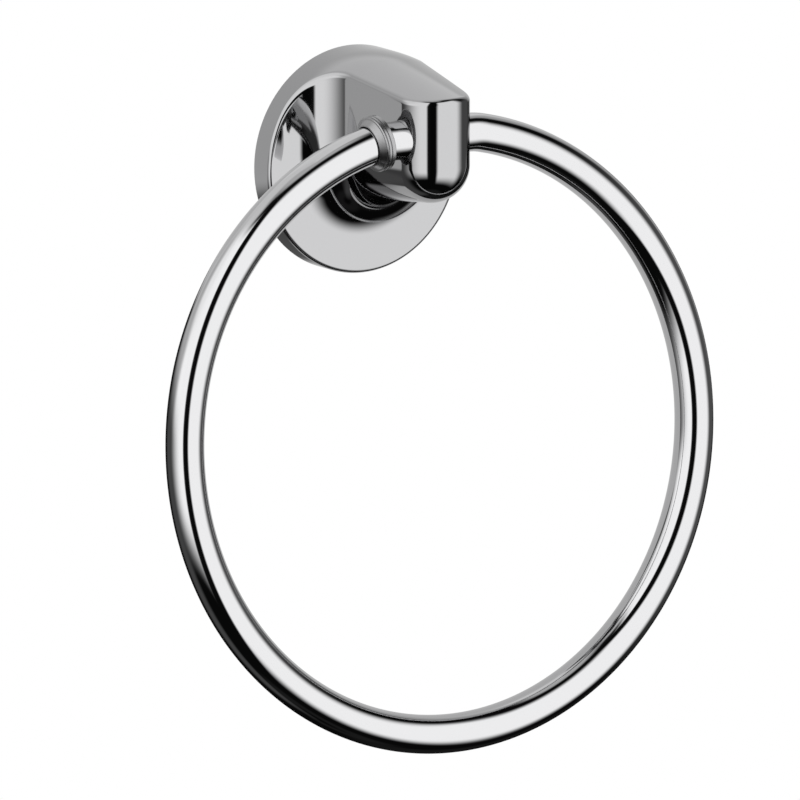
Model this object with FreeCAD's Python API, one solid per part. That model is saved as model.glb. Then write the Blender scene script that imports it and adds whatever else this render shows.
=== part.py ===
import FreeCAD, Part
import math
import os

# Wall-mounted towel ring. Millimetres. The origin is the centre of the mount's back
# face, which lies on the wall. X runs along the wall, Y into the wall, Z up.

# Flange of the mount
flange_r = 28.6
flange_t = 7.0
rim_round_r = 1.2
sharp_edge_deg = 12.0

# Hood: a post that is flat-sided above and round below, and flares into the flange
hood_axis_z = 4.0
nose_r = 9.8
nose_y = -37.5
side_taper_deg = 6.6
flare_r = 13.1
roof_pitch_deg = 11.0
roof_bend_drop = 1.2

# Ring
ring_mean_r = 76.0
bar_r = 4.9
bore_clearance = 0.05
pivot_z = 11.0
ring_offset_x = -1.56
bend_r = 18.0
swing_out_deg = 4.85
bend_lead = 1.1
end_gap = 0.4

# Joint collar, which closes the ring beside the hood
joint_share = 0.75
collar_length = 4.0
collar_rim_length = 2.6
collar_r = 7.1
collar_cone_r = 6.5
collar_cone_tip_r = 5.4
collar_grooves = 2
collar_groove_pitch = 0.85
collar_groove_depth = 0.3
collar_groove_width = 0.4
collar_edge_r = 0.25
collar_bore_clearance = 0.18

# Hollow back of the mount
rim_wall = 3.8
cavity_depth = 5.0
head_pocket_width = 12.0
head_pocket_height = 30.0
head_pocket_depth = 1.8
head_pocket_corner_r = 2.5
core_width = 14.0
core_bottom_z = -2.0
core_top_z = 20.0
core_wall = 3.0
core_corner_r = 3.5

# Wall bracket and its hook
bracket_width = 26.0
bracket_height = 30.0
bracket_t = 4.0
bevel_deg = 20.0
hook_width = 14.0
hook_clearance = 0.1
lug_root = 0.5
lug_setback = 0.6
slot_spacing = 18.0
slot_length = 9.0
slot_width = 4.6

# Screws
set_screw_r = 2.0
set_screw_depth = 2.8
set_screw_clearance = 0.02
set_screw_recess = 0.8
set_screw_tip_r = 0.8
hex_across_flats = 2.0
hex_depth = 2.2
wall_screw_r = 2.0
wall_neck_r = 1.8
wall_screw_reach = 26.0
wall_screw_point = 5.0
wall_screw_tip_r = 0.2
wall_head_r = 3.9
wall_head_h = 2.2
wall_head_bevel = 0.8
cross_width = 1.1
cross_span = 4.2
cross_depth = 1.3

# How far a cutting tool runs past what it cuts
overrun = 2.0


def vec(x, y, z):
    return FreeCAD.Vector(x, y, z)


def line(a, b):
    return Part.makeLine(a, b)


def arc(a, mid, b):
    return Part.Arc(a, mid, b).toShape()


def on_circle(centre_x, centre_y, radius, angle_deg, z):
    """Point on a circle in a horizontal plane; angle 0 points along -Y, 90 along -X."""
    angle = math.radians(angle_deg)
    return vec(centre_x - radius * math.sin(angle), centre_y - radius * math.cos(angle), z)


def slot_prism(width, height, corner_r, y_front, y_back, centre_z):
    """Upright rounded rectangle, extruded along Y."""
    box = Part.makeBox(width, y_back - y_front, height, vec(-width / 2, y_front, centre_z - height / 2))
    upright = [e for e in box.Edges if abs(e.tangentAt(e.FirstParameter).y) > 0.999]
    return box.makeFillet(corner_r, upright)


# Plan outline of the hood's left half, from the nose's tip to the flare's foot

wall_angle_deg = 90.0 - side_taper_deg
taper = math.radians(side_taper_deg)
nose_tangent = on_circle(0, nose_y, nose_r, wall_angle_deg, hood_axis_z)
front_y = -flange_t
corner_x = nose_tangent.x + (nose_tangent.y - front_y) * math.tan(taper)
flare_tangent_length = flare_r * math.tan(math.radians(wall_angle_deg / 2))
flare_foot_x = corner_x - flare_tangent_length
flare_centre_y = front_y - flare_r


def flare_point(angle_deg):
    """Point on the concave flare; angle 0 is its foot on the flange."""
    angle = math.radians(angle_deg)
    return vec(flare_foot_x + flare_r * math.sin(angle), flare_centre_y + flare_r * math.cos(angle), hood_axis_z)


def hood_half_outline():
    tip = vec(0, nose_y - nose_r, hood_axis_z)
    foot = flare_point(0)
    top = flare_point(wall_angle_deg)
    axis_foot = vec(0, front_y, hood_axis_z)
    return [
        arc(tip, on_circle(0, nose_y, nose_r, wall_angle_deg / 2, hood_axis_z), nose_tangent),
        line(nose_tangent, top),
        arc(top, flare_point(wall_angle_deg / 2), foot),
        line(foot, axis_foot),
        line(axis_foot, tip),
    ]


def roof_envelope():
    """Round bar of the flange's radius that bends down along the hood's roof."""
    reach = flange_r + abs(nose_y) + nose_r
    bend_centre = vec(0, front_y, -flange_r - roof_bend_drop)
    start = Part.Face(Part.Wire(Part.makeCircle(flange_r, vec(0, front_y, 0), vec(0, 1, 0))))
    bend = start.revolve(bend_centre, vec(1, 0, 0), roof_pitch_deg)
    pitch = math.radians(roof_pitch_deg)
    heading = vec(0, -math.cos(pitch), -math.sin(pitch))
    end = start.copy()
    end.rotate(bend_centre, vec(1, 0, 0), roof_pitch_deg)
    return bend.fuse(end.extrude(heading * reach))


def hood():
    half = Part.Face(Part.Wire(hood_half_outline()))
    below = half.revolve(vec(0, 0, hood_axis_z), vec(0, 1, 0), -180)
    mirrored = half.mirror(vec(0, 0, 0), vec(1, 0, 0))
    above = half.fuse(mirrored).removeSplitter().extrude(vec(0, 0, flange_r))
    return below.fuse(above).common(roof_envelope()).removeSplitter()


def sharp_edges(shape, least_deg):
    """Edges where two faces meet at more than the given angle."""
    owners = {}
    for face in shape.Faces:
        for edge in face.Edges:
            owners.setdefault(edge.hashCode(), (edge, []))[1].append(face)
    chosen = []
    for edge, faces in owners.values():
        if edge.Degenerated or len(faces) != 2:
            continue
        point = edge.valueAt((edge.FirstParameter + edge.LastParameter) / 2)
        normals = [face.normalAt(*face.Surface.parameter(point)) for face in faces]
        if math.degrees(normals[0].getAngle(normals[1])) > least_deg:
            chosen.append(edge)
    return chosen


def rounded_mount():
    """Flange and hood as cast, with one soft edge that runs round the rim and the roof."""
    flange = Part.makeCylinder(flange_r, flange_t, vec(0, 0, 0), vec(0, -1, 0))
    solid = flange.fuse(hood()).removeSplitter()
    edges = [e for e in sharp_edges(solid, sharp_edge_deg) if e.BoundBox.YMax < -flange_t / 2]
    return solid.makeFillet(rim_round_r, edges)


# Back of the mount

cavity_r = flange_r - rim_wall
pocket_front_y = -cavity_depth - head_pocket_depth
bore_r = bar_r + bore_clearance
core_front_y = nose_y + bore_r + core_wall
bevel = math.tan(math.radians(bevel_deg))
bracket_half = bracket_height / 2


def bracket_profile(x):
    front_half = bracket_half + bracket_t * bevel
    corners = [
        vec(x, 0, -bracket_half),
        vec(x, 0, bracket_half),
        vec(x, -bracket_t, front_half),
        vec(x, -bracket_t, -front_half),
    ]
    return Part.Face(Part.makePolygon(corners + corners[:1]))


def hook_lug():
    """Cast lug in the top of the hollow back. It hangs on the bracket's bevelled top edge."""
    root_y = -cavity_depth - lug_root
    rise = hook_clearance / math.cos(math.radians(bevel_deg))
    low_back = vec(0, -lug_setback, bracket_half + lug_setback * bevel + rise)
    low_front = vec(0, root_y, bracket_half - root_y * bevel + rise)
    top = cavity_r + lug_root
    corners = [low_back, low_front, vec(0, root_y, top), vec(0, -lug_setback, top)]
    face = Part.Face(Part.makePolygon(corners + corners[:1]))
    face.translate(vec(-hook_width / 2, 0, 0))
    lug = face.extrude(vec(hook_width, 0, 0))
    limit = Part.makeCylinder(cavity_r + lug_root, cavity_depth + overrun, vec(0, 0, 0), vec(0, -1, 0))
    return lug.common(limit)


def pivot_bore():
    """Cross bore through the hood, in which the ring turns."""
    reach = nose_r + overrun
    start = vec(-reach, nose_y, pivot_z)
    return Part.makeCylinder(bore_r, 2 * reach, start, vec(1, 0, 0))


def set_screw_hole():
    start = vec(0, -set_screw_depth, -flange_r - overrun)
    return Part.makeCylinder(set_screw_r, flange_r - cavity_r + 2 * overrun, start, vec(0, 0, 1))


def post():
    solid = rounded_mount()
    solid = solid.cut(Part.makeCylinder(cavity_r, cavity_depth, vec(0, 0, 0), vec(0, -1, 0)))
    solid = solid.fuse(hook_lug())
    back = -cavity_depth + overrun / 4
    solid = solid.cut(
        slot_prism(head_pocket_width, head_pocket_height, head_pocket_corner_r, pocket_front_y, back, 0)
    )
    core_height = core_top_z - core_bottom_z
    core_middle = (core_top_z + core_bottom_z) / 2
    solid = solid.cut(slot_prism(core_width, core_height, core_corner_r, core_front_y, back, core_middle))
    solid = solid.cut(pivot_bore())
    return solid.cut(set_screw_hole()).removeSplitter()


# Ring, drawn flat in the plane of X and Z with its pivot's axis on X

bend_reach = nose_r + bend_lead - ring_offset_x
bend_deg = math.degrees(math.asin(bend_reach / (ring_mean_r - bend_r)))
ring_centre_z = -bend_r - math.sqrt((ring_mean_r - bend_r) ** 2 - bend_reach**2)
ring_centre = vec(ring_offset_x, 0, ring_centre_z)
bend_left = vec(ring_offset_x - bend_reach, 0, -bend_r)
bend_right = vec(ring_offset_x + bend_reach, 0, -bend_r)
joint_deg = bend_deg * joint_share


def bent(centre, bend, start_deg, turn_deg):
    """Bar bent round a centre, from the angle start_deg off the top."""
    across = vec(centre.x, 0, centre.z + bend)
    section = Part.Face(Part.Wire(Part.makeCircle(bar_r, across, vec(1, 0, 0))))
    section.rotate(centre, vec(0, 1, 0), start_deg)
    return section.revolve(centre, vec(0, 1, 0), turn_deg)


def hoop(gap):
    """Closed hoop of bar, with an open joint of the given width on its left."""
    gap_deg = math.degrees(gap / 2 / bend_r)
    pieces = [
        Part.makeCylinder(bar_r, 2 * bend_reach, vec(bend_left.x, 0, 0), vec(1, 0, 0)),
        bent(bend_right, bend_r, 0, bend_deg),
        bent(ring_centre, ring_mean_r, bend_deg, 180 - bend_deg),
        bent(ring_centre, ring_mean_r, 180, 180 - bend_deg),
        bent(bend_left, bend_r, -bend_deg, bend_deg - joint_deg - gap_deg),
        bent(bend_left, bend_r, -joint_deg + gap_deg, joint_deg - gap_deg),
    ]
    return pieces[0].fuse(pieces[1:]).removeSplitter()


def collar_outline():
    """Half section of the joint collar, from its face beside the hood to its cone."""
    inner_r = bar_r + collar_bore_clearance
    points = [(0, inner_r), (0, collar_r - collar_edge_r), (collar_edge_r, collar_r)]
    for groove in range(collar_grooves):
        middle = collar_rim_length - (collar_grooves - groove - 0.5) * collar_groove_pitch
        half = collar_groove_width / 2
        points.append((middle - half, collar_r))
        points.append((middle, collar_r - collar_groove_depth))
        points.append((middle + half, collar_r))
    points.append((collar_rim_length - collar_edge_r, collar_r))
    points.append((collar_rim_length, collar_r - collar_edge_r))
    points.append((collar_rim_length, collar_cone_r))
    points.append((collar_length, collar_cone_tip_r))
    points.append((collar_length, inner_r))
    return points


def joint_collar():
    points = [vec(-along, 0, out) for along, out in collar_outline()]
    face = Part.Face(Part.makePolygon(points + points[:1]))
    solid = face.revolve(vec(0, 0, 0), vec(1, 0, 0), 360)
    solid.translate(vec(bend_left.x + collar_length / 2, 0, 0))
    solid.rotate(bend_left, vec(0, 1, 0), -joint_deg)
    return solid


def hung(shape):
    """Swings a piece out from the wall about its pivot and puts it in the hood's bore."""
    shape.rotate(vec(0, 0, 0), vec(1, 0, 0), -swing_out_deg)
    shape.translate(vec(0, nose_y, pivot_z))
    return shape


# Wall bracket and screws


def wall_bracket():
    plate = bracket_profile(-bracket_width / 2).extrude(vec(bracket_width, 0, 0))
    for z in (-slot_spacing / 2, slot_spacing / 2):
        reach = (slot_length - slot_width) / 2
        for x in (-reach, reach):
            plate = plate.cut(screw_hole(x, z))
        middle = Part.makeBox(2 * reach, bracket_t + 2 * overrun, slot_width)
        middle.translate(vec(-reach, -bracket_t - overrun, z - slot_width / 2))
        plate = plate.cut(middle)
    return plate.removeSplitter()


def screw_hole(x, z):
    return Part.makeCylinder(slot_width / 2, bracket_t + 2 * overrun, vec(x, overrun, z), vec(0, -1, 0))


def hex_prism(across_flats, depth):
    corner_r = across_flats / math.sqrt(3)
    corners = [
        vec(corner_r * math.cos(math.radians(60 * k)), corner_r * math.sin(math.radians(60 * k)), 0)
        for k in range(6)
    ]
    return Part.Face(Part.makePolygon(corners + corners[:1])).extrude(vec(0, 0, depth))


def set_screw():
    """Grub screw. Its tip bears on the bracket's lower bevel and draws the mount to the wall."""
    radius = set_screw_r - set_screw_clearance
    bearing_y = set_screw_depth + set_screw_tip_r
    top = -(bracket_half + bearing_y * bevel) - set_screw_clearance
    bottom = -flange_r + set_screw_recess
    tip_height = radius - set_screw_tip_r
    shank = Part.makeCylinder(radius, top - tip_height - bottom, vec(0, 0, bottom))
    tip = Part.makeCone(radius, set_screw_tip_r, tip_height, vec(0, 0, top - tip_height))
    socket = hex_prism(hex_across_flats, hex_depth)
    socket.translate(vec(0, 0, bottom))
    solid = shank.fuse(tip).removeSplitter().cut(socket)
    solid.translate(vec(0, -set_screw_depth, 0))
    return solid


def wall_screw(z):
    """Pan-head wood screw through the bracket, with a plain neck and shank and a cross recess."""
    into_wall = vec(0, 1, 0)
    point_start = wall_screw_reach - wall_screw_point
    rim_height = wall_head_h - wall_head_bevel
    crown_r = wall_head_r - wall_head_bevel
    rim = Part.makeCylinder(wall_head_r, rim_height, vec(0, -bracket_t - rim_height, 0), into_wall)
    crown = Part.makeCone(crown_r, wall_head_r, wall_head_bevel, vec(0, -bracket_t - wall_head_h, 0), into_wall)
    neck = Part.makeCylinder(wall_neck_r, bracket_t, vec(0, -bracket_t, 0), into_wall)
    shank = Part.makeCylinder(wall_screw_r, point_start, vec(0, 0, 0), into_wall)
    point = Part.makeCone(wall_screw_r, wall_screw_tip_r, wall_screw_point, vec(0, point_start, 0), into_wall)
    solid = rim.fuse([crown, neck, shank, point]).removeSplitter()
    for width, height in ((cross_span, cross_width), (cross_width, cross_span)):
        arm = Part.makeBox(width, cross_depth + overrun, height)
        arm.translate(vec(-width / 2, -bracket_t - wall_head_h - overrun, -height / 2))
        solid = solid.cut(arm)
    solid.translate(vec(0, 0, z))
    return solid


def save(shape, name):
    print(name, "valid", shape.isValid(), "solids", len(shape.Solids), "mm3", round(shape.Volume))
    shape.exportStep("parts/" + name + ".step")


os.makedirs("parts", exist_ok=True)
save(post(), "post")
save(hung(hoop(end_gap)), "ring")
save(hung(joint_collar()), "joint_collar")
save(wall_bracket(), "wall_bracket")
save(set_screw(), "set_screw")
save(Part.makeCompound([wall_screw(z) for z in (-slot_spacing / 2, slot_spacing / 2)]), "wall_screws")
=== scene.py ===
import math

import bmesh
import bpy
import numpy as np
from mathutils import Matrix, Vector


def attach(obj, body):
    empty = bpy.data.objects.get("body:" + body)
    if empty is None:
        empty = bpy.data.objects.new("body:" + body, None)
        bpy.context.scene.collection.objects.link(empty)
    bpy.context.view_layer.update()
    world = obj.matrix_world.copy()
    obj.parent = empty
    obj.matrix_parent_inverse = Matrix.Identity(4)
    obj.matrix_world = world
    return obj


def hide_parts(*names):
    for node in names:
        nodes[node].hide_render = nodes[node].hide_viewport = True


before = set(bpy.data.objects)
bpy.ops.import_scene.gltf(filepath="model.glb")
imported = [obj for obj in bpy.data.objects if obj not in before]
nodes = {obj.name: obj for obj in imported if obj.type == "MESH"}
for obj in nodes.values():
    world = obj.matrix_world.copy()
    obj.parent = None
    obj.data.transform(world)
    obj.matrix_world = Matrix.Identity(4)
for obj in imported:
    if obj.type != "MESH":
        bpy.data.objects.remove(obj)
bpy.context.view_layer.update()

# Towel ring: chromed casting, hoop of chromed bar, joint collar, steel bracket and screws.
# The scene is in metres with +Z up. The wall is the plane Y = 0, and the ring hangs in front
# of it, towards -Y.

MM = 0.001

# Sizes, in millimetres, the same as those of the solids

FLANGE_R = 28.6
FLANGE_T = 7.0
RIM_ROUND = 1.2
HOOD_AXIS_Z = 4.0
NOSE_R = 9.8
NOSE_Y = -37.5
SIDE_TAPER = math.radians(6.6)
FLARE_R = 13.1
ROOF_PITCH = math.radians(11.0)
ROOF_BEND_DROP = 1.2

RING_R = 76.0
BAR_R = 4.9
PIVOT_Z = 11.0
RING_OFFSET_X = -1.56
BEND_R = 18.0
BEND_LEAD = 1.1
END_GAP = 0.4
JOINT_SHARE = 0.75
SWING_OUT = math.radians(4.85)

COLLAR_LENGTH = 4.0
COLLAR_RIM = 2.6
COLLAR_R = 7.1
COLLAR_CONE_R = 6.5
COLLAR_TIP_R = 5.4
COLLAR_BORE_R = 5.08
COLLAR_EDGE = 0.25
GROOVE_PITCH = 0.85
GROOVE_DEPTH = 0.3
GROOVE_WIDTH = 0.4
GROOVES = 2

SLOT_SPACING = 18.0
WALL_SCREW_R = 2.0
WALL_SCREW_REACH = 26.0
WALL_SCREW_POINT = 5.0
SET_SCREW_R = 1.98
SET_SCREW_Y = -2.8


def colour(hex_code):
    """Turns an sRGB hex value into Blender's linear colour."""
    channels = [int(hex_code[i : i + 2], 16) / 255 for i in (0, 2, 4)]
    linear = [c / 12.92 if c <= 0.04045 else ((c + 0.055) / 1.055) ** 2.4 for c in channels]
    return (*linear, 1.0)


def grey(level):
    """Linear value of an sRGB grey from 0 to 255."""
    return colour(f"{round(level):02X}" * 3)[0]


def add(tree, kind, inputs=None, **settings):
    """Adds a node. An input takes a value, a socket, or a node whose first output is linked."""
    node = tree.nodes.new(kind)
    for name, value in settings.items():
        setattr(node, name, value)
    for key, value in (inputs or {}).items():
        if isinstance(value, bpy.types.Node):
            value = value.outputs[0]
        if isinstance(value, bpy.types.NodeSocket):
            tree.links.new(value, node.inputs[key])
        else:
            node.inputs[key].default_value = value
    return node


def empty_material(name):
    """A material and its node tree, with nothing in it yet."""
    material = bpy.data.materials.new(name)
    material.use_nodes = True
    material.node_tree.nodes.clear()
    return material, material.node_tree


def in_millimetres(tree):
    """The piece's own coordinates in millimetres, so that pattern sizes are real ones."""
    spot = add(tree, "ShaderNodeTexCoord").outputs["Object"]
    return add(tree, "ShaderNodeVectorMath", {0: spot, 1: (1 / MM,) * 3}, operation="MULTIPLY")


def in_scene(name, data):
    """A new object of the scene that shows a mesh or holds a camera."""
    piece = bpy.data.objects.new(name, data)
    bpy.context.scene.collection.objects.link(piece)
    return piece


# Finishes: sizes of their patterns in millimetres, and the span of the noise that each one uses

HAZE_SIZE = 9.0
HAZE_LOW = 0.35
HAZE_HIGH = 0.75
RIPPLE_HEIGHT = 0.02 * MM
CLOUD_SIZE = 4.0
CLOUD_LOW = 0.3
CLOUD_HIGH = 0.7
CLOUD_DULLING = 1.4
GRAIN_HEIGHT = 0.03 * MM


def chrome_plate(name, hex_code, smoothest, dullest, ripple_size, ripple_strength):
    """Chromium plate over nickel. It mirrors near-black and near-white, ripples very faintly
    where the buffing wheel went and hazes a little where it is handled."""
    material, tree = empty_material(name)
    spot = in_millimetres(tree)
    haze = add(
        tree,
        "ShaderNodeTexNoise",
        {"Vector": spot, "Scale": 1 / HAZE_SIZE, "Detail": 4.0, "Roughness": 0.6},
    )
    roughness = add(
        tree,
        "ShaderNodeMapRange",
        {
            "Value": haze,
            "From Min": HAZE_LOW,
            "From Max": HAZE_HIGH,
            "To Min": smoothest,
            "To Max": dullest,
        },
    )
    ripple = add(
        tree,
        "ShaderNodeTexNoise",
        {"Vector": spot, "Scale": 1 / ripple_size, "Detail": 1.0, "Roughness": 0.5},
    )
    bump = add(
        tree,
        "ShaderNodeBump",
        {"Height": ripple, "Strength": ripple_strength, "Distance": RIPPLE_HEIGHT},
    )
    shader = add(
        tree,
        "ShaderNodeBsdfPrincipled",
        {"Base Color": colour(hex_code), "Metallic": 1.0, "Roughness": roughness, "Normal": bump},
    )
    add(tree, "ShaderNodeOutputMaterial", {"Surface": shader})
    return material


def plated_steel(name, hex_dark, hex_light, grain_size, roughness):
    """Steel as it leaves the plating barrel. Soft cool sheen, cloudy from the bath and finely
    grained from rolling or turning."""
    material, tree = empty_material(name)
    spot = in_millimetres(tree)
    cloud = add(
        tree,
        "ShaderNodeTexNoise",
        {"Vector": spot, "Scale": 1 / CLOUD_SIZE, "Detail": 5.0, "Roughness": 0.65},
    )
    tint = add(tree, "ShaderNodeValToRGB", {"Fac": cloud})
    dark, light = tint.color_ramp.elements
    dark.position = CLOUD_LOW
    dark.color = colour(hex_dark)
    light.position = CLOUD_HIGH
    light.color = colour(hex_light)
    sheen = add(
        tree,
        "ShaderNodeMapRange",
        {
            "Value": cloud,
            "From Min": CLOUD_LOW,
            "From Max": CLOUD_HIGH,
            "To Min": roughness,
            "To Max": CLOUD_DULLING * roughness,
        },
    )
    grain = add(tree, "ShaderNodeTexNoise", {"Vector": spot, "Scale": 1 / grain_size, "Detail": 3.0})
    bump = add(tree, "ShaderNodeBump", {"Height": grain, "Strength": 0.35, "Distance": GRAIN_HEIGHT})
    shader = add(
        tree,
        "ShaderNodeBsdfPrincipled",
        {"Base Color": tint, "Metallic": 1.0, "Roughness": sheen, "Normal": bump},
    )
    add(tree, "ShaderNodeOutputMaterial", {"Surface": shader})
    return material


# Each finish with its colours, its roughness and the size of its ripple or grain in millimetres.
# The collar's plating looks duller than that of the casting and the bar. Bare stainless has the
# cloudy sheen of the plated steel, only darker and with finer grain. All the grain is drawn
# coarser than the real one, so that it shows.

chrome_on_casting = chrome_plate(
    "chrome_plate_on_zinc_casting", "AAAAAB", 0.03, 0.07, ripple_size=4.0, ripple_strength=0.05
)
chrome_on_bar = chrome_plate(
    "chrome_plate_on_drawn_bar", "C4C4C5", 0.04, 0.08, ripple_size=3.0, ripple_strength=0.05
)
chrome_on_collar = chrome_plate(
    "chrome_plate_on_turned_collar", "9E9E9F", 0.26, 0.32, ripple_size=0.8, ripple_strength=0.04
)
zinc_on_bracket = plated_steel(
    "zinc_plate_on_pressed_steel", "A9ACAE", "C9CBCC", grain_size=0.25, roughness=0.3
)
zinc_on_screws = plated_steel(
    "zinc_plate_on_wood_screws", "B1AFA4", "D0CFC6", grain_size=0.2, roughness=0.26
)
stainless = plated_steel(
    "plain_stainless_steel", "7E7F82", "9A9A9C", grain_size=0.15, roughness=0.28
)

# What the meshes have in common: their unit, merging and shading

MERGE_REACH = 0.001 * MM


def in_mm(vertices):
    """The places of vertices as an array, in millimetres."""
    return np.array([vertex.co for vertex in vertices]) / MM


def merged_copy(node):
    """Editable copy of a solid's mesh, whose loose triangles are joined at their corners."""
    work = bmesh.new()
    work.from_mesh(nodes[node].data)
    bmesh.ops.remove_doubles(work, verts=work.verts, dist=MERGE_REACH)
    return work


def triangulate(work):
    """Cuts the faces that have more than three corners."""
    bmesh.ops.triangulate(work, faces=[face for face in work.faces if len(face.verts) > 3])


def shade_by_angle(mesh, sharp_degrees):
    """Smooth shading from the faces alone, sharp along the edges that turn by more than an angle.
    Normals that the mesh was copied with are dropped."""
    for name in ("custom_normal", "sharp_edge"):
        if name in mesh.attributes:
            mesh.attributes.remove(mesh.attributes[name])
    mesh.shade_smooth()
    mesh.set_sharp_from_angle(angle=math.radians(sharp_degrees))


def finished_mesh(name, work, sharp_degrees):
    """Plain mesh with its shading, from an editable one that it uses up."""
    mesh = bpy.data.meshes.new(name)
    work.to_mesh(mesh)
    work.free()
    shade_by_angle(mesh, sharp_degrees)
    return mesh


# Mount casting: its outside as a rule, so that the mirror finish has exact normals

TAPER_COS = math.cos(SIDE_TAPER)
TAPER_SIN = math.sin(SIDE_TAPER)
WALL_ANGLE = math.pi / 2 - SIDE_TAPER
FRONT_Y = -FLANGE_T
SIDE_X = NOSE_R * TAPER_COS
SIDE_Y = NOSE_Y - NOSE_R * TAPER_SIN
CORNER_X = SIDE_X + (FRONT_Y - SIDE_Y) * math.tan(SIDE_TAPER)
FLARE_REACH = FLARE_R * math.tan(WALL_ANGLE / 2)
FLARE_X = CORNER_X + FLARE_REACH
FLARE_Y = FRONT_Y - FLARE_R
SIDE_LENGTH = (FRONT_Y - SIDE_Y) / TAPER_COS - FLARE_REACH
BEND_AXIS_R = FLANGE_R + ROOF_BEND_DROP
SLOPE_STEP = 0.002


def outline_distance(across, y):
    """How far points lie outside the plan outline of nose, side, flare and flange front."""
    along = (across - SIDE_X) * TAPER_SIN + (y - SIDE_Y) * TAPER_COS
    return np.select(
        [across > FLARE_X, along > SIDE_LENGTH, along > 0],
        [
            FRONT_Y - y,
            FLARE_R - np.hypot(across - FLARE_X, y - FLARE_Y),
            (across - SIDE_X) * TAPER_COS - (y - SIDE_Y) * TAPER_SIN,
        ],
        np.hypot(across, y - NOSE_Y) - NOSE_R,
    )


def bar_distance(x, y, z):
    """How far points lie outside the round bar that is the flange's rim and bends into the roof."""
    ahead = FRONT_Y - y
    height = z + BEND_AXIS_R
    turn = np.clip(np.arctan2(ahead, height), 0, ROOF_PITCH)
    lift = height * np.cos(turn) + ahead * np.sin(turn)
    return np.hypot(x, lift - BEND_AXIS_R) - FLANGE_R


def skin_distance(points):
    """How far points lie outside the casting, with the rim's soft edge between both forms."""
    x, y, z = points.T
    across = np.where(z > HOOD_AXIS_Z, np.abs(x), np.hypot(x, z - HOOD_AXIS_Z))
    outline = outline_distance(across, y) + RIM_ROUND
    bar = bar_distance(x, y, z) + RIM_ROUND
    edge = np.hypot(outline, bar)
    return np.where((outline > 0) & (bar > 0), edge, np.maximum(outline, bar)) - RIM_ROUND


def skin_normals(points):
    """Outward directions of the casting's skin, from small steps each way."""
    slopes = []
    for axis in SLOPE_STEP * np.eye(3):
        slopes.append(skin_distance(points + axis) - skin_distance(points - axis))
    normals = np.stack(slopes, axis=1)
    return normals / np.linalg.norm(normals, axis=1, keepdims=True)


# Points within the reach are moved on to the skin, and those on it can take its normal if their
# face looks the same way. An edge is cut while the skin turns more along it and it isn't too fine.

SKIN_REACH = 0.25
ON_SKIN = 0.05
SAME_WAY = 0.8
FINEST_EDGE = 0.12
LARGEST_TURN = math.cos(math.radians(3.0))
REFINEMENTS = 7


def on_to_skin(work):
    """Moves the vertices that are near the skin on to it."""
    vertices = list(work.verts)
    points = in_mm(vertices)
    near = np.abs(skin_distance(points)) < SKIN_REACH
    for _ in range(2):
        points[near] -= skin_distance(points[near])[:, None] * skin_normals(points[near])
    for index in np.nonzero(near)[0]:
        vertices[index].co = points[index] * MM


def split_curved_edges(work):
    """Splits the edges of the skin along which it turns by more than a few degrees."""
    edges = list(work.edges)
    starts = in_mm([edge.verts[0] for edge in edges])
    ends = in_mm([edge.verts[1] for edge in edges])
    middles = (starts + ends) / 2
    near = np.abs(skin_distance(middles)) < 2 * SKIN_REACH
    for points in (starts, ends):
        near &= np.abs(skin_distance(points)) < SKIN_REACH
    first, second, third = skin_normals(starts), skin_normals(middles), skin_normals(ends)
    turned = np.minimum((first * second).sum(axis=1), (second * third).sum(axis=1)) < LARGEST_TURN
    long = np.linalg.norm(ends - starts, axis=1) > 2 * FINEST_EDGE
    chosen = [edges[index] for index in np.nonzero(near & turned & long)[0]]
    bmesh.ops.subdivide_edges(work, edges=chosen, cuts=1)
    triangulate(work)


def drop_folds(work):
    """Takes out faces that lie back to back on the same corners, which a split sliver leaves."""
    work.verts.index_update()
    groups = {}
    for face in work.faces:
        corners = tuple(sorted(vertex.index for vertex in face.verts))
        groups.setdefault(corners, []).append(face)
    folds = []
    for faces in groups.values():
        folds += faces[: 2 * (len(faces) // 2)]
    bmesh.ops.delete(work, geom=folds, context="FACES_ONLY")
    loose = [edge for edge in work.edges if not edge.link_faces]
    bmesh.ops.delete(work, geom=loose, context="EDGES")


def casting():
    """The mount's casting with a fine outside. Hollow, bore and screw hole stay as they are."""
    work = merged_copy("post")
    for _ in range(REFINEMENTS):
        split_curved_edges(work)
        drop_folds(work)
        on_to_skin(work)
    bmesh.ops.dissolve_degenerate(work, edges=work.edges, dist=MERGE_REACH)
    triangulate(work)
    mesh = finished_mesh("mount_casting", work, sharp_degrees=30)
    points = in_mm(mesh.vertices)
    near = np.abs(skin_distance(points)) < ON_SKIN
    rule_normals = skin_normals(points)
    centres = np.array([polygon.center for polygon in mesh.polygons]) / MM
    facing = np.array([polygon.normal for polygon in mesh.polygons])
    outside = (facing * skin_normals(centres)).sum(axis=1) > SAME_WAY
    outside &= np.abs(skin_distance(centres)) < SKIN_REACH
    normals = [tuple(corner.vector) for corner in mesh.corner_normals]
    for polygon in mesh.polygons:
        if outside[polygon.index] and all(near[index] for index in polygon.vertices):
            for loop, vertex in zip(polygon.loop_indices, polygon.vertices):
                normals[loop] = tuple(rule_normals[vertex])
    mesh.normals_split_custom_set(normals)
    return mesh


# Node trees that make a piece's shape


def shape_tree(name, sizes):
    """An empty tree of Geometry Nodes with one named number for each size, and a material."""
    tree = bpy.data.node_groups.new(name, "GeometryNodeTree")
    tree.interface.new_socket("Geometry", in_out="INPUT", socket_type="NodeSocketGeometry")
    for size in sizes:
        tree.interface.new_socket(size, in_out="INPUT", socket_type="NodeSocketFloat")
    tree.interface.new_socket("Material", in_out="INPUT", socket_type="NodeSocketMaterial")
    tree.interface.new_socket("Geometry", in_out="OUTPUT", socket_type="NodeSocketGeometry")
    return tree, add(tree, "NodeGroupInput").outputs


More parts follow.
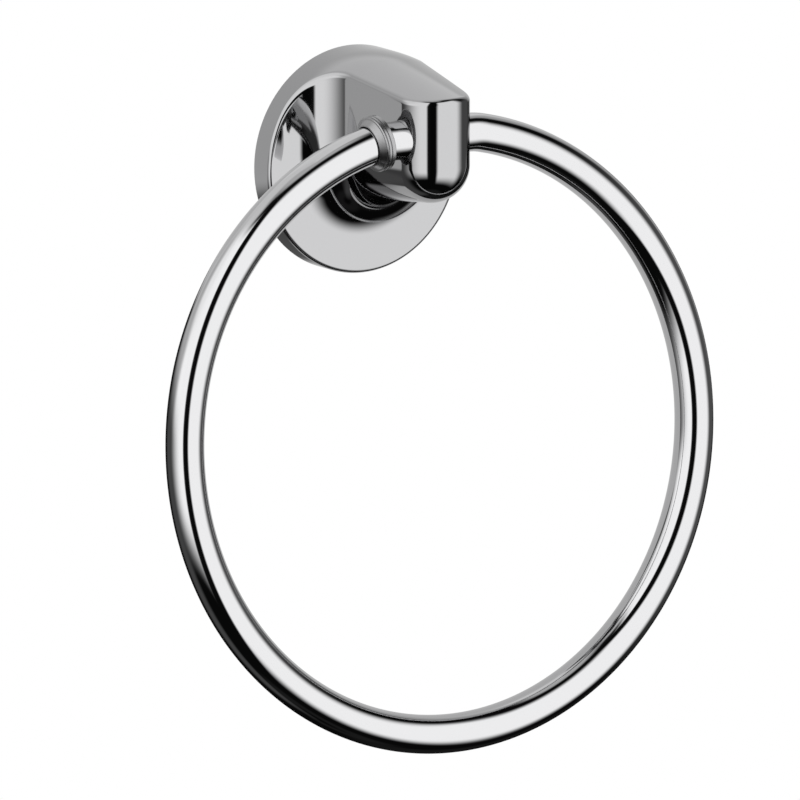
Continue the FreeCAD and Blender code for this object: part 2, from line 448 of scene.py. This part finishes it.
def finish_tree(tree, given, shape):
    """Ends a tree with real geometry that carries the material."""
    real = add(tree, "GeometryNodeRealizeInstances", {0: shape})
    coated = add(tree, "GeometryNodeSetMaterial", {"Geometry": real, "Material": given["Material"]})
    add(tree, "NodeGroupOutput", {0: coated})


def shaped(name, tree, values, material):
    """Runs a shape tree with its sizes and returns the plain mesh."""
    carrier = in_scene(name, bpy.data.meshes.new(name))
    modifier = carrier.modifiers.new(name, "NODES")
    modifier.node_group = tree
    values = {**values, "Material": material}
    for item in tree.interface.items_tree:
        if item.in_out == "INPUT" and item.name in values:
            modifier[item.identifier] = values[item.name]
    evaluated = carrier.evaluated_get(bpy.context.evaluated_depsgraph_get())
    mesh = bpy.data.meshes.new_from_object(evaluated)
    carrier.modifiers.remove(modifier)
    bpy.data.objects.remove(carrier)
    mesh.name = name
    shade_by_angle(mesh, sharp_degrees=40)
    return mesh


# Hoop: a bar that follows two tight bends and one large arc

HALF_REACH = NOSE_R + BEND_LEAD - RING_OFFSET_X
BEND_TURN = math.asin(HALF_REACH / (RING_R - BEND_R))
RING_CENTRE_Z = -BEND_R - math.sqrt((RING_R - BEND_R) ** 2 - HALF_REACH**2)
JOINT_TURN = BEND_TURN * JOINT_SHARE
HOOP_SIZES = {
    "Ring radius": RING_R * MM,
    "Bend radius": BEND_R * MM,
    "Half reach": HALF_REACH * MM,
    "Offset": RING_OFFSET_X * MM,
    "Bar radius": BAR_R * MM,
    "Bend turn": BEND_TURN,
    "Ring centre": RING_CENTRE_Z * MM,
    "Joint": JOINT_TURN,
    "Gap": END_GAP / 2 / BEND_R,
}
HOOP_STATIONS = 1081
BAR_SIDES = 72
HANG = Matrix.Translation(Vector((0.0, NOSE_Y, PIVOT_Z)) * MM) @ Matrix.Rotation(-SWING_OUT, 4, "X")


def hoop_tree():
    """Round bar along an open path. The outward direction turns evenly from one side of the
    joint to the other, and the arc that it belongs to gives the centre and the radius."""
    tree, given = shape_tree("bent_hoop", HOOP_SIZES)
    line = add(tree, "GeometryNodeCurvePrimitiveLine")
    stations = add(tree, "GeometryNodeResampleCurve", {"Curve": line, "Count": HOOP_STATIONS})
    share = add(tree, "GeometryNodeSplineParameter").outputs["Factor"]
    start = add(tree, "ShaderNodeMath", {0: given["Gap"], 1: given["Joint"]}, operation="SUBTRACT")
    both_gaps = add(tree, "ShaderNodeMath", {0: given["Gap"], 1: 2.0}, operation="MULTIPLY")
    sweep = add(tree, "ShaderNodeMath", {0: math.tau, 1: both_gaps}, operation="SUBTRACT")
    gone = add(tree, "ShaderNodeMath", {0: share, 1: sweep}, operation="MULTIPLY")
    along = add(tree, "ShaderNodeMath", {0: start, 1: gone}, operation="ADD")
    turn = add(tree, "ShaderNodeMath", {0: along, 1: math.pi, 2: -math.pi}, operation="WRAP")

    # The bends belong to the directions near the top, one on each side of the post
    size_of_turn = add(tree, "ShaderNodeMath", {0: turn}, operation="ABSOLUTE")
    in_bend = add(tree, "ShaderNodeMath", {0: size_of_turn, 1: given["Bend turn"]}, operation="LESS_THAN")
    side = add(tree, "ShaderNodeMath", {0: turn}, operation="SIGN")
    bend_x = add(tree, "ShaderNodeMath", {0: side, 1: given["Half reach"]}, operation="MULTIPLY")
    bend_z = add(tree, "ShaderNodeMath", {0: given["Bend radius"], 1: -1.0}, operation="MULTIPLY")
    choices = [
        (given["Ring radius"], given["Bend radius"]),
        (0.0, bend_x),
        (given["Ring centre"], bend_z),
    ]
    radius, arc_x, arc_z = [
        add(
            tree,
            "GeometryNodeSwitch",
            {"Switch": in_bend, "False": in_arc, "True": in_either_bend},
            input_type="FLOAT",
        )
        for in_arc, in_either_bend in choices
    ]

    # A point on the path is its arc's centre and a radius out from there
    centre_x = add(tree, "ShaderNodeMath", {0: given["Offset"], 1: arc_x}, operation="ADD")
    coordinates = {}
    for axis, centre, wave in (("X", centre_x, "SINE"), ("Z", arc_z, "COSINE")):
        part = add(tree, "ShaderNodeMath", {0: turn}, operation=wave)
        reach = add(tree, "ShaderNodeMath", {0: radius, 1: part}, operation="MULTIPLY")
        coordinates[axis] = add(tree, "ShaderNodeMath", {0: centre, 1: reach}, operation="ADD")
    spot = add(tree, "ShaderNodeCombineXYZ", coordinates)
    path = add(tree, "GeometryNodeSetPosition", {"Geometry": stations, "Position": spot})
    section = add(
        tree,
        "GeometryNodeCurvePrimitiveCircle",
        {"Resolution": BAR_SIDES, "Radius": given["Bar radius"]},
    )
    bar = add(
        tree,
        "GeometryNodeCurveToMesh",
        {"Curve": path, "Profile Curve": section, "Fill Caps": True},
    )
    finish_tree(tree, given, bar)
    return tree


def hoop():
    """The hoop as it hangs, from its tree."""
    mesh = shaped("towel_hoop", hoop_tree(), HOOP_SIZES, chrome_on_bar)
    mesh.transform(HANG)
    return mesh


# Joint collar: a turned sleeve with two grooves in its rim

COLLAR_SIDES = 160
GROOVE_POINTS = (-1, -0.6, -0.2, 0.2, 0.6, 1)


def collar_section():
    """Half section, as distance along the bar and radius, from the face beside the hood."""
    points = [(0, COLLAR_BORE_R), (0, COLLAR_R - COLLAR_EDGE), (COLLAR_EDGE, COLLAR_R)]
    for groove in range(GROOVES):
        middle = COLLAR_RIM - (GROOVES - groove - 0.5) * GROOVE_PITCH
        for share in GROOVE_POINTS:
            depth = GROOVE_DEPTH * math.cos(share * math.pi / 2)
            points.append((middle + share * GROOVE_WIDTH / 2, COLLAR_R - depth))
    points += [
        (COLLAR_RIM - COLLAR_EDGE, COLLAR_R),
        (COLLAR_RIM, COLLAR_R - COLLAR_EDGE),
        (COLLAR_RIM, COLLAR_CONE_R),
        (COLLAR_LENGTH, COLLAR_TIP_R),
        (COLLAR_LENGTH, COLLAR_BORE_R),
    ]
    return points


def turned(name, section, sides):
    """Closed body of revolution about X, from pairs of distance along X and radius."""
    count = len(section)
    vertices = []
    for side in range(sides):
        turn = math.tau * side / sides
        for along, radius in section:
            vertices.append((along * MM, radius * MM * math.cos(turn), radius * MM * math.sin(turn)))
    faces = []
    for side in range(sides):
        here, there = side * count, (side + 1) % sides * count
        for index in range(count):
            after = (index + 1) % count
            faces.append((here + index, here + after, there + after, there + index))
    rough = bpy.data.meshes.new(name)
    rough.from_pydata(vertices, [], faces)
    work = bmesh.new()
    work.from_mesh(rough)
    bpy.data.meshes.remove(rough)
    if work.calc_volume(signed=True) < 0:
        bmesh.ops.reverse_faces(work, faces=work.faces)
    return finished_mesh(name, work, sharp_degrees=28)


def collar():
    """The collar in its place over the joint, on the bend beside the post."""
    section = [(-along, radius) for along, radius in collar_section()]
    mesh = turned("joint_collar_turned", section, COLLAR_SIDES)
    bend_x = RING_OFFSET_X - HALF_REACH
    bend_centre = Vector((bend_x, 0.0, -BEND_R)) * MM
    slide = Matrix.Translation(Vector((bend_x + COLLAR_LENGTH / 2, 0.0, 0.0)) * MM)
    turn = Matrix.Rotation(-JOINT_TURN, 4, "Y")
    round_bend = Matrix.Translation(bend_centre) @ turn @ Matrix.Translation(-bend_centre)
    mesh.transform(HANG @ round_bend @ slide)
    return mesh


# Screw threads, in millimetres. A start is counted from the wall or from the socket's end, and
# the socket lies inside its share of the grub screw's radius.

WOOD_THREAD = {
    "crest_r": WALL_SCREW_R,
    "height": 0.55,
    "pitch": 1.8,
    "point_length": WALL_SCREW_POINT,
    "point_r": 0.25,
}
WOOD_THREAD_START = 1.2
GRUB_THREAD = {
    "crest_r": SET_SCREW_R,
    "height": 0.3,
    "pitch": 0.7,
    "point_length": 0.1,
    "point_r": 1.6,
}
GRUB_THREAD_START = 0.35
GRUB_PLAIN_ENDS = 2.0
GRUB_SOCKET_SHARE = 0.95
SHANK_START = -0.01
STATIONS_PER_TURN = 28.0
THREAD_SIZES = ["Root radius", "Point radius", "Height", "Length", "Point length", "Turns"]


def thread_tree():
    """Ridge of a screw thread: a diamond section along a helix that narrows over the point."""
    tree, given = shape_tree("screw_thread", THREAD_SIZES)
    line = add(tree, "GeometryNodeCurvePrimitiveLine")
    count = add(tree, "ShaderNodeMath", {0: given["Turns"], 1: STATIONS_PER_TURN}, operation="MULTIPLY")
    stations = add(tree, "GeometryNodeResampleCurve", {"Curve": line, "Count": count})
    share = add(tree, "GeometryNodeSplineParameter").outputs["Factor"]
    rise = add(tree, "ShaderNodeMath", {0: share, 1: given["Length"]}, operation="MULTIPLY")
    turns = add(tree, "ShaderNodeMath", {0: share, 1: given["Turns"]}, operation="MULTIPLY")
    angle = add(tree, "ShaderNodeMath", {0: turns, 1: math.tau}, operation="MULTIPLY")
    cosine = add(tree, "ShaderNodeMath", {0: angle}, operation="COSINE")
    sine = add(tree, "ShaderNodeMath", {0: angle}, operation="SINE")
    shank = add(
        tree,
        "ShaderNodeMath",
        {0: given["Length"], 1: given["Point length"]},
        operation="SUBTRACT",
    )
    radius = add(
        tree,
        "ShaderNodeMapRange",
        {
            "Value": rise,
            "From Min": shank,
            "From Max": given["Length"],
            "To Min": given["Root radius"],
            "To Max": given["Point radius"],
        },
    )
    x = add(tree, "ShaderNodeMath", {0: radius, 1: cosine}, operation="MULTIPLY")
    y = add(tree, "ShaderNodeMath", {0: radius, 1: sine}, operation="MULTIPLY")
    spot = add(tree, "ShaderNodeCombineXYZ", {"X": x, "Y": y, "Z": rise})
    helix = add(tree, "GeometryNodeSetPosition", {"Geometry": stations, "Position": spot})
    upright = add(tree, "GeometryNodeSetCurveNormal", {"Curve": helix}, mode="Z_UP")
    section = add(
        tree,
        "GeometryNodeCurvePrimitiveCircle",
        {"Resolution": 4, "Radius": given["Height"]},
    )
    ridge = add(
        tree,
        "GeometryNodeCurveToMesh",
        {"Curve": upright, "Profile Curve": section, "Fill Caps": True},
    )
    finish_tree(tree, given, ridge)
    return tree


def thread(name, tree, material, crest_r, height, pitch, length, point_length, point_r):
    """One thread along +Z, from sizes in millimetres."""
    values = {
        "Root radius": (crest_r - height) * MM,
        "Point radius": point_r * MM,
        "Height": height * MM,
        "Length": length * MM,
        "Point length": point_length * MM,
        "Turns": length / pitch,
    }
    return shaped(name, tree, values, material)


def drawn_in(name, node, centres, along, root_share, start, inner_r):
    """Screws with their shanks drawn in to the root of the thread. A shank lies past the start
    along its axis and outside the inner radius, so that the head and the socket stay."""
    work = merged_copy(node)
    for vertex in work.verts:
        spot = vertex.co / MM
        offsets = [spot - centre - (spot - centre).project(along) for centre in centres]
        out = min(offsets, key=lambda offset: offset.length)
        if spot.dot(along) > start and out.length > inner_r:
            vertex.co -= (1 - root_share) * out * MM
    return finished_mesh(name, work, sharp_degrees=35)


def joined(name, meshes):
    """One mesh from several, with their sharp edges kept."""
    pieces = [in_scene(name, mesh) for mesh in meshes]
    with bpy.context.temp_override(active_object=pieces[0], selected_editable_objects=pieces):
        bpy.ops.object.join()
    mesh = pieces[0].data
    bpy.data.objects.remove(pieces[0])
    mesh.name = name
    return mesh


def wall_screws(tree):
    """Both wood screws, threaded as far as they are in the wall."""
    centres = [Vector((0.0, 0.0, side * SLOT_SPACING / 2)) for side in (-1, 1)]
    shanks = drawn_in(
        "wall_screw_shanks",
        "wall_screws",
        centres,
        along=Vector((0, 1, 0)),
        root_share=1 - WOOD_THREAD["height"] / WALL_SCREW_R,
        start=SHANK_START,
        inner_r=0.0,
    )
    meshes = [shanks]
    length = WALL_SCREW_REACH - 2 * WOOD_THREAD_START
    into_wall = Matrix.Rotation(-math.pi / 2, 4, "X")
    for centre in centres:
        ridge = thread("wall_screw_thread", tree, zinc_on_screws, length=length, **WOOD_THREAD)
        start = centre + Vector((0.0, WOOD_THREAD_START, 0.0))
        ridge.transform(Matrix.Translation(start * MM) @ into_wall)
        meshes.append(ridge)
    return joined("threaded_wall_screws", meshes)


def grub_screw(tree):
    """The grub screw, threaded between its plain ends."""
    heights = [(vertex.co / MM).z for vertex in nodes["set_screw"].data.vertices]
    low, high = min(heights), max(heights)
    shank = drawn_in(
        "grub_screw_shank",
        "set_screw",
        [Vector((0.0, SET_SCREW_Y, 0.0))],
        along=Vector((0, 0, 1)),
        root_share=1 - GRUB_THREAD["height"] / SET_SCREW_R,
        start=-math.inf,
        inner_r=GRUB_SOCKET_SHARE * SET_SCREW_R,
    )
    length = high - low - GRUB_PLAIN_ENDS
    ridge = thread("grub_screw_thread", tree, stainless, length=length, **GRUB_THREAD)
    start = Vector((0.0, SET_SCREW_Y, low + GRUB_THREAD_START))
    ridge.transform(Matrix.Translation(start * MM))
    return joined("threaded_grub_screw", [shank, ridge])


# The pieces, each on its body and in its node's place


def place(name, mesh, material, body, node):
    """Puts a finished mesh in the scene as a piece of a body, in place of a node."""
    piece = in_scene(name, mesh)
    mesh.materials.clear()
    mesh.materials.append(material)
    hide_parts(node)
    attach(piece, body)


screw_thread = thread_tree()
place("mount_casting", casting(), chrome_on_casting, "wall_mount", "post")
place("towel_hoop", hoop(), chrome_on_bar, "hoop", "ring")
place("joint_collar_turned", collar(), chrome_on_collar, "hoop", "joint_collar")
place(
    "threaded_wall_screws",
    wall_screws(screw_thread),
    zinc_on_screws,
    "wall_mount",
    "wall_screws",
)
place(
    "threaded_grub_screw",
    grub_screw(screw_thread),
    stainless,
    "wall_mount",
    "set_screw",
)
for slot_of_bracket in nodes["wall_bracket"].material_slots:
    slot_of_bracket.material = zinc_on_bracket

# Studio light: two tall soft boxes, dark below, and pale walls behind the plane of the wall.
# Tones are the sRGB greys that the hoop's chrome shows of them. Each edge of a panel is an
# angle in degrees and how softly it ends, with longitude counted from straight in front of
# the wall and latitude from the level.

BAR_REFLECTION = grey(0xC4)
ROOM_TONE = 8
ROUND_WEST = (-400, 1)
ROUND_EAST = (400, 1)
UP = (200, 1)
PANELS = {
    "floor glow": {"tone": 24, "west": ROUND_WEST, "east": ROUND_EAST, "low": (-84, 4), "high": (-72, 5)},
    "ceiling": {"tone": 160, "west": ROUND_WEST, "east": ROUND_EAST, "low": (76, 5), "high": UP},
    "left room": {"tone": 66, "west": (-150, 14), "east": (-60, 30), "low": (-26, 16), "high": (66, 10)},
    "left floor": {"tone": 62, "west": ROUND_WEST, "east": (-118, 16), "low": (-80, 10), "high": (4, 10)},
    "left far floor": {"tone": 10, "west": ROUND_WEST, "east": (-164, 14), "low": (-80, 10), "high": UP},
    "left wall": {"tone": 160, "west": (-166, 12), "east": (-114, 10), "low": (8, 10), "high": UP},
    "wall behind left": {"tone": 182, "west": ROUND_WEST, "east": (-155, 10), "low": (17, 8), "high": UP},
    "left top": {"tone": 186, "west": ROUND_WEST, "east": (-78, 20), "low": (46, 14), "high": (74, 6)},
    "right floor": {"tone": 20, "west": (104, 10), "east": (150, 10), "low": (-72, 6), "high": (-16, 8)},
    "right wall": {"tone": 145, "west": (104, 9), "east": (132, 12), "low": (-4, 9), "high": UP},
    "wall behind right": {"tone": 190, "west": (126, 10), "east": ROUND_EAST, "low": (13, 9), "high": UP},
    "left box": {"tone": 238, "west": (-93, 33), "east": (-44.5, 3.5), "low": (-26, 13), "high": (61, 5)},
    "left box top": {"tone": 238, "west": (-112, 16), "east": (-60, 20), "low": (6, 9), "high": (61, 5)},
    "left far top": {"tone": 226, "west": (-130, 14), "east": (-90, 20), "low": (30, 10), "high": (56, 7)},
    "right glow": {"tone": 72, "west": (50, 14), "east": (108, 12), "low": (-24, 12), "high": (20, 14)},
    "right box": {"tone": 236, "west": (-14, 5), "east": (61, 15), "low": (-40, 14), "high": (53, 9)},
}


def studio():
    """Light that falls on the ring from each direction. A later panel covers an earlier one."""
    world = bpy.data.worlds.new("studio_light")
    bpy.context.scene.world = world
    world.use_nodes = True
    tree = world.node_tree
    tree.nodes.clear()
    direction = add(tree, "ShaderNodeTexCoord").outputs["Generated"]
    axes = add(tree, "ShaderNodeSeparateXYZ", {0: direction}).outputs
    ahead = add(tree, "ShaderNodeMath", {0: axes["Y"], 1: -1.0}, operation="MULTIPLY")
    heading = add(tree, "ShaderNodeMath", {0: axes["X"], 1: ahead}, operation="ARCTAN2")
    longitude = add(tree, "ShaderNodeMath", {0: heading}, operation="DEGREES")
    rise = add(tree, "ShaderNodeMath", {0: axes["Z"]}, operation="ARCSINE")
    latitude = add(tree, "ShaderNodeMath", {0: rise}, operation="DEGREES")
    sides = [
        ("west", longitude, 0.0, 1.0),
        ("east", longitude, 1.0, 0.0),
        ("low", latitude, 0.0, 1.0),
        ("high", latitude, 1.0, 0.0),
    ]
    level = grey(ROOM_TONE) / BAR_REFLECTION
    for panel in PANELS.values():
        mask = 1.0
        for side, angle, before, past in sides:
            edge, softness = panel[side]
            cover = add(
                tree,
                "ShaderNodeMapRange",
                {
                    "Value": angle,
                    "From Min": edge - softness,
                    "From Max": edge + softness,
                    "To Min": before,
                    "To Max": past,
                },
                interpolation_type="SMOOTHSTEP",
            )
            mask = add(tree, "ShaderNodeMath", {0: mask, 1: cover}, operation="MULTIPLY")
        tone = grey(panel["tone"]) / BAR_REFLECTION
        change = add(tree, "ShaderNodeMath", {0: tone, 1: level}, operation="SUBTRACT")
        level = add(tree, "ShaderNodeMath", {0: mask, 1: change, 2: level}, operation="MULTIPLY_ADD")
    light = add(tree, "ShaderNodeBackground", {"Color": (1, 1, 1, 1), "Strength": level})
    paper = add(tree, "ShaderNodeBackground", {"Color": (1, 1, 1, 1), "Strength": 1.0})
    to_camera = add(tree, "ShaderNodeLightPath").outputs["Is Camera Ray"]
    seen = add(tree, "ShaderNodeMixShader", {0: to_camera, 1: light, 2: paper})
    add(tree, "ShaderNodeOutputWorld", {"Surface": seen})


studio()

# Boards behind the plane of the wall, in millimetres. Only the chrome mirrors them.

BOARDS = {
    "board_behind_mount": {
        "tone": 166,
        "y": 20.0,
        "x_range": (-86.0, 114.0),
        "z_range": (-22.0, 54.0),
        "corner": 14.0,
        "softness": 12.0,
    },
    "board_behind_ring": {
        "tone": 162,
        "y": 20.5,
        "x_range": (-37.5, 118.5),
        "z_range": (-152.0, 4.0),
        "corner": 78.0,
        "softness": 5.0,
    },
    "grey_flag": {
        "tone": 72,
        "y": 19.5,
        "x_range": (-64.0, 4.0),
        "z_range": (-54.0, -14.0),
        "corner": 16.0,
        "softness": 12.0,
    },
}


def lit_board(tone, x_range, z_range, corner, softness):
    """Board under soft light. It glows evenly at its tone and fades out at its rounded outline."""
    material, tree = empty_material("lit_white_board")
    (west, east), (low, high) = x_range, z_range
    centre = ((west + east) / 2, 0.0, (low + high) / 2)
    straight = ((east - west) / 2 - corner, 0.0, (high - low) / 2 - corner)
    flat = {0: in_millimetres(tree), 1: (1, 0, 1)}
    upright = add(tree, "ShaderNodeVectorMath", flat, operation="MULTIPLY")
    from_centre = add(tree, "ShaderNodeVectorMath", {0: upright, 1: centre}, operation="SUBTRACT")
    spread = add(tree, "ShaderNodeVectorMath", {0: from_centre}, operation="ABSOLUTE")
    over = add(tree, "ShaderNodeVectorMath", {0: spread, 1: straight}, operation="SUBTRACT")
    past = add(tree, "ShaderNodeVectorMath", {0: over, 1: (0, 0, 0)}, operation="MAXIMUM")
    out = add(tree, "ShaderNodeVectorMath", {0: past}, operation="LENGTH").outputs["Value"]
    cover = add(
        tree,
        "ShaderNodeMapRange",
        {"Value": out, "From Min": corner - softness, "From Max": corner, "To Min": 1.0, "To Max": 0.0},
        interpolation_type="SMOOTHSTEP",
    )
    strength = grey(tone) / BAR_REFLECTION
    glow = add(tree, "ShaderNodeEmission", {"Color": (1, 1, 1, 1), "Strength": strength})
    clear = add(tree, "ShaderNodeBsdfTransparent")
    mixed = add(tree, "ShaderNodeMixShader", {0: cover, 1: clear, 2: glow})
    add(tree, "ShaderNodeOutputMaterial", {"Surface": mixed})
    return material


def reflector(name, tone, y, x_range, z_range, corner, softness):
    """An upright board that neither the camera nor diffuse light sees and that casts no shadow."""
    (west, east), (low, high) = x_range, z_range
    corners = [(west, y, low), (west, y, high), (east, y, high), (east, y, low)]
    mesh = bpy.data.meshes.new(name)
    mesh.from_pydata([Vector(spot) * MM for spot in corners], [], [(0, 1, 2, 3)])
    mesh.materials.append(lit_board(tone, x_range, z_range, corner, softness))
    board = in_scene(name, mesh)
    board.visible_camera = False
    board.visible_diffuse = False
    board.visible_shadow = False


for board_name, board_sizes in BOARDS.items():
    reflector(board_name, **board_sizes)

# Floor, pale and plain, well below the ring

FLOOR_R = 0.75
FLOOR_Z = -0.32
FLOOR_SIDES = 128
floor_edge = []
for floor_side in range(FLOOR_SIDES):
    bearing = math.tau * floor_side / FLOOR_SIDES
    floor_edge.append((FLOOR_R * math.cos(bearing), FLOOR_R * math.sin(bearing), FLOOR_Z))
floor_mesh = bpy.data.meshes.new("floor")
floor_mesh.from_pydata(floor_edge, [], [list(range(FLOOR_SIDES))])

# Matt paper gives the eye an even white without any gloss
paper_white, paper_tree = empty_material("matt_white_paper")
paper_shader = add(
    paper_tree,
    "ShaderNodeBsdfPrincipled",
    {"Base Color": colour("F4F4F4"), "Roughness": 0.9},
)
add(paper_tree, "ShaderNodeOutputMaterial", {"Surface": paper_shader})
floor_mesh.materials.append(paper_white)
floor = in_scene("floor", floor_mesh)
floor.visible_glossy = False
floor.visible_diffuse = False

# Camera: a parallel view from the left and a little above

AZIMUTH = math.radians(-32.9)
ELEVATION = math.radians(10.5)
FRAME_WIDTH = 200.86 * MM
TARGET = Vector((4.53, -16.19, -60.04)) * MM
level_part = math.cos(ELEVATION)
back = Vector((math.sin(AZIMUTH) * level_part, -math.cos(AZIMUTH) * level_part, math.sin(ELEVATION)))
right = Vector((math.cos(AZIMUTH), math.sin(AZIMUTH), 0.0))
up = back.cross(right)
lens = bpy.data.cameras.new("camera")
lens.type = "ORTHO"
lens.ortho_scale = FRAME_WIDTH
lens.clip_start = 0.01
lens.clip_end = 10.0
camera = in_scene("camera", lens)
camera.matrix_world = Matrix.Translation(TARGET + back) @ Matrix((right, up, back)).transposed().to_4x4()
bpy.context.scene.camera = camera
view = bpy.context.scene.view_settings
view.view_transform = "Standard"
view.look = "None"
view.exposure = 0.0
view.gamma = 1.0
